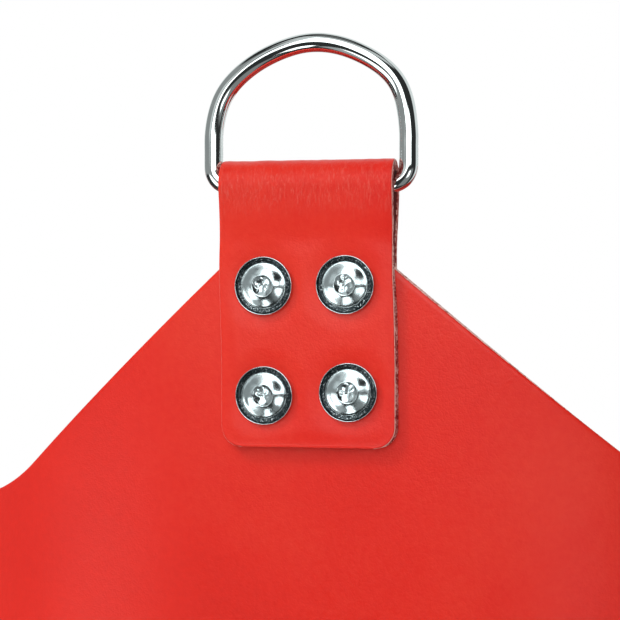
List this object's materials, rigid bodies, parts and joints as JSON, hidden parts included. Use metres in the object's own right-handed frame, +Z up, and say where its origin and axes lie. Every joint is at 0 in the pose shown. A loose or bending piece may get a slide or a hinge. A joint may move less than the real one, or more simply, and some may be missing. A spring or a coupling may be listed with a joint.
{
  "type": "heavy punching bag",
  "caption": "Round red leather heavy bag with a peaked crown, riveted hanging straps with swinging steel D-rings, and a zipped lid over its filling.",
  "frame": {"origin": "centre of the flat round base, which the bag can stand on", "axes": "+Z up along the bag's axis, -Y out of the front hanger, +X out of the right hanger"},
  "size_m": [0.35, 0.35, 1.169],
  "materials": {
    "wall_leather": "satin",
    "strap_leather": "satin",
    "lid_leather": "satin",
    "ring_chrome": "polished",
    "rivet_chrome": "polished",
    "burr_brass": "satin",
    "zip_metal": "satin",
    "zip_tape": "matte",
    "seam_tape": "matte",
    "foam": "matte",
    "canvas": "matte",
    "rags": "matte"
  },
  "bodies": {
    "bag": {"wall_panel_front": "wall_leather", "seam_tape_front": "seam_tape", "hanger_strap_front": "strap_leather", "cup_washers_front": "rivet_chrome", "rivets_front": "rivet_chrome", "burr_washers_front": "burr_brass", "wall_panel_right": "wall_leather", "seam_tape_right": "seam_tape", "hanger_strap_right": "strap_leather", "cup_washers_right": "rivet_chrome", "rivets_right": "rivet_chrome", "burr_washers_right": "burr_brass", "wall_panel_back": "wall_leather", "seam_tape_back": "seam_tape", "hanger_strap_back": "strap_leather", "cup_washers_back": "rivet_chrome", "rivets_back": "rivet_chrome", "burr_washers_back": "burr_brass", "wall_panel_left": "wall_leather", "seam_tape_left": "seam_tape", "hanger_strap_left": "strap_leather", "cup_washers_left": "rivet_chrome", "rivets_left": "rivet_chrome", "burr_washers_left": "burr_brass", "base_tray": "wall_leather", "base_pad": "foam", "lid_band": "lid_leather", "lid_front": "lid_leather", "lid_back": "lid_leather", "zip_tape_front": "zip_tape", "zip_tape_back": "zip_tape", "zip_teeth_front": "zip_metal", "zip_teeth_back": "zip_metal", "zip_stops": "zip_metal", "foam_sleeve": "foam", "canvas_sack": "canvas", "rag_filling": "rags"},
    "d_ring_front": {"d_ring_front": "ring_chrome"},
    "d_ring_right": {"d_ring_right": "ring_chrome"},
    "d_ring_back": {"d_ring_back": "ring_chrome"},
    "d_ring_left": {"d_ring_left": "ring_chrome"},
    "zip_slider": {"zip_slider": "zip_metal"},
    "zip_pull": {"zip_pull": "zip_metal"}
  },
  "joints": [
    {"name": "d_ring_front_swing", "type": "hinge", "parent": "bag", "child": "d_ring_front", "pos_m": [0, -0.16476, 1.126], "axis": [1, 0, 0], "range_deg": [-160, 160]},
    {"name": "d_ring_right_swing", "type": "hinge", "parent": "bag", "child": "d_ring_right", "pos_m": [0.16476, 0, 1.126], "axis": [0, 1, 0], "range_deg": [-160, 160]},
    {"name": "d_ring_back_swing", "type": "hinge", "parent": "bag", "child": "d_ring_back", "pos_m": [0, 0.16476, 1.126], "axis": [-1, 0, 0], "range_deg": [-160, 160]},
    {"name": "d_ring_left_swing", "type": "hinge", "parent": "bag", "child": "d_ring_left", "pos_m": [-0.16476, 0, 1.126], "axis": [0, -1, 0], "range_deg": [-160, 160]},
    {"name": "zip_slide", "type": "slide", "parent": "bag", "child": "zip_slider", "axis": [1, 0, 0], "range_m": [0, 0.24]},
    {"name": "zip_pull_flip", "type": "hinge", "parent": "zip_slider", "child": "zip_pull", "pos_m": [-0.12, 0, 1.0013], "axis": [0, -1, 0], "range_deg": [0, 170]}
  ]
}
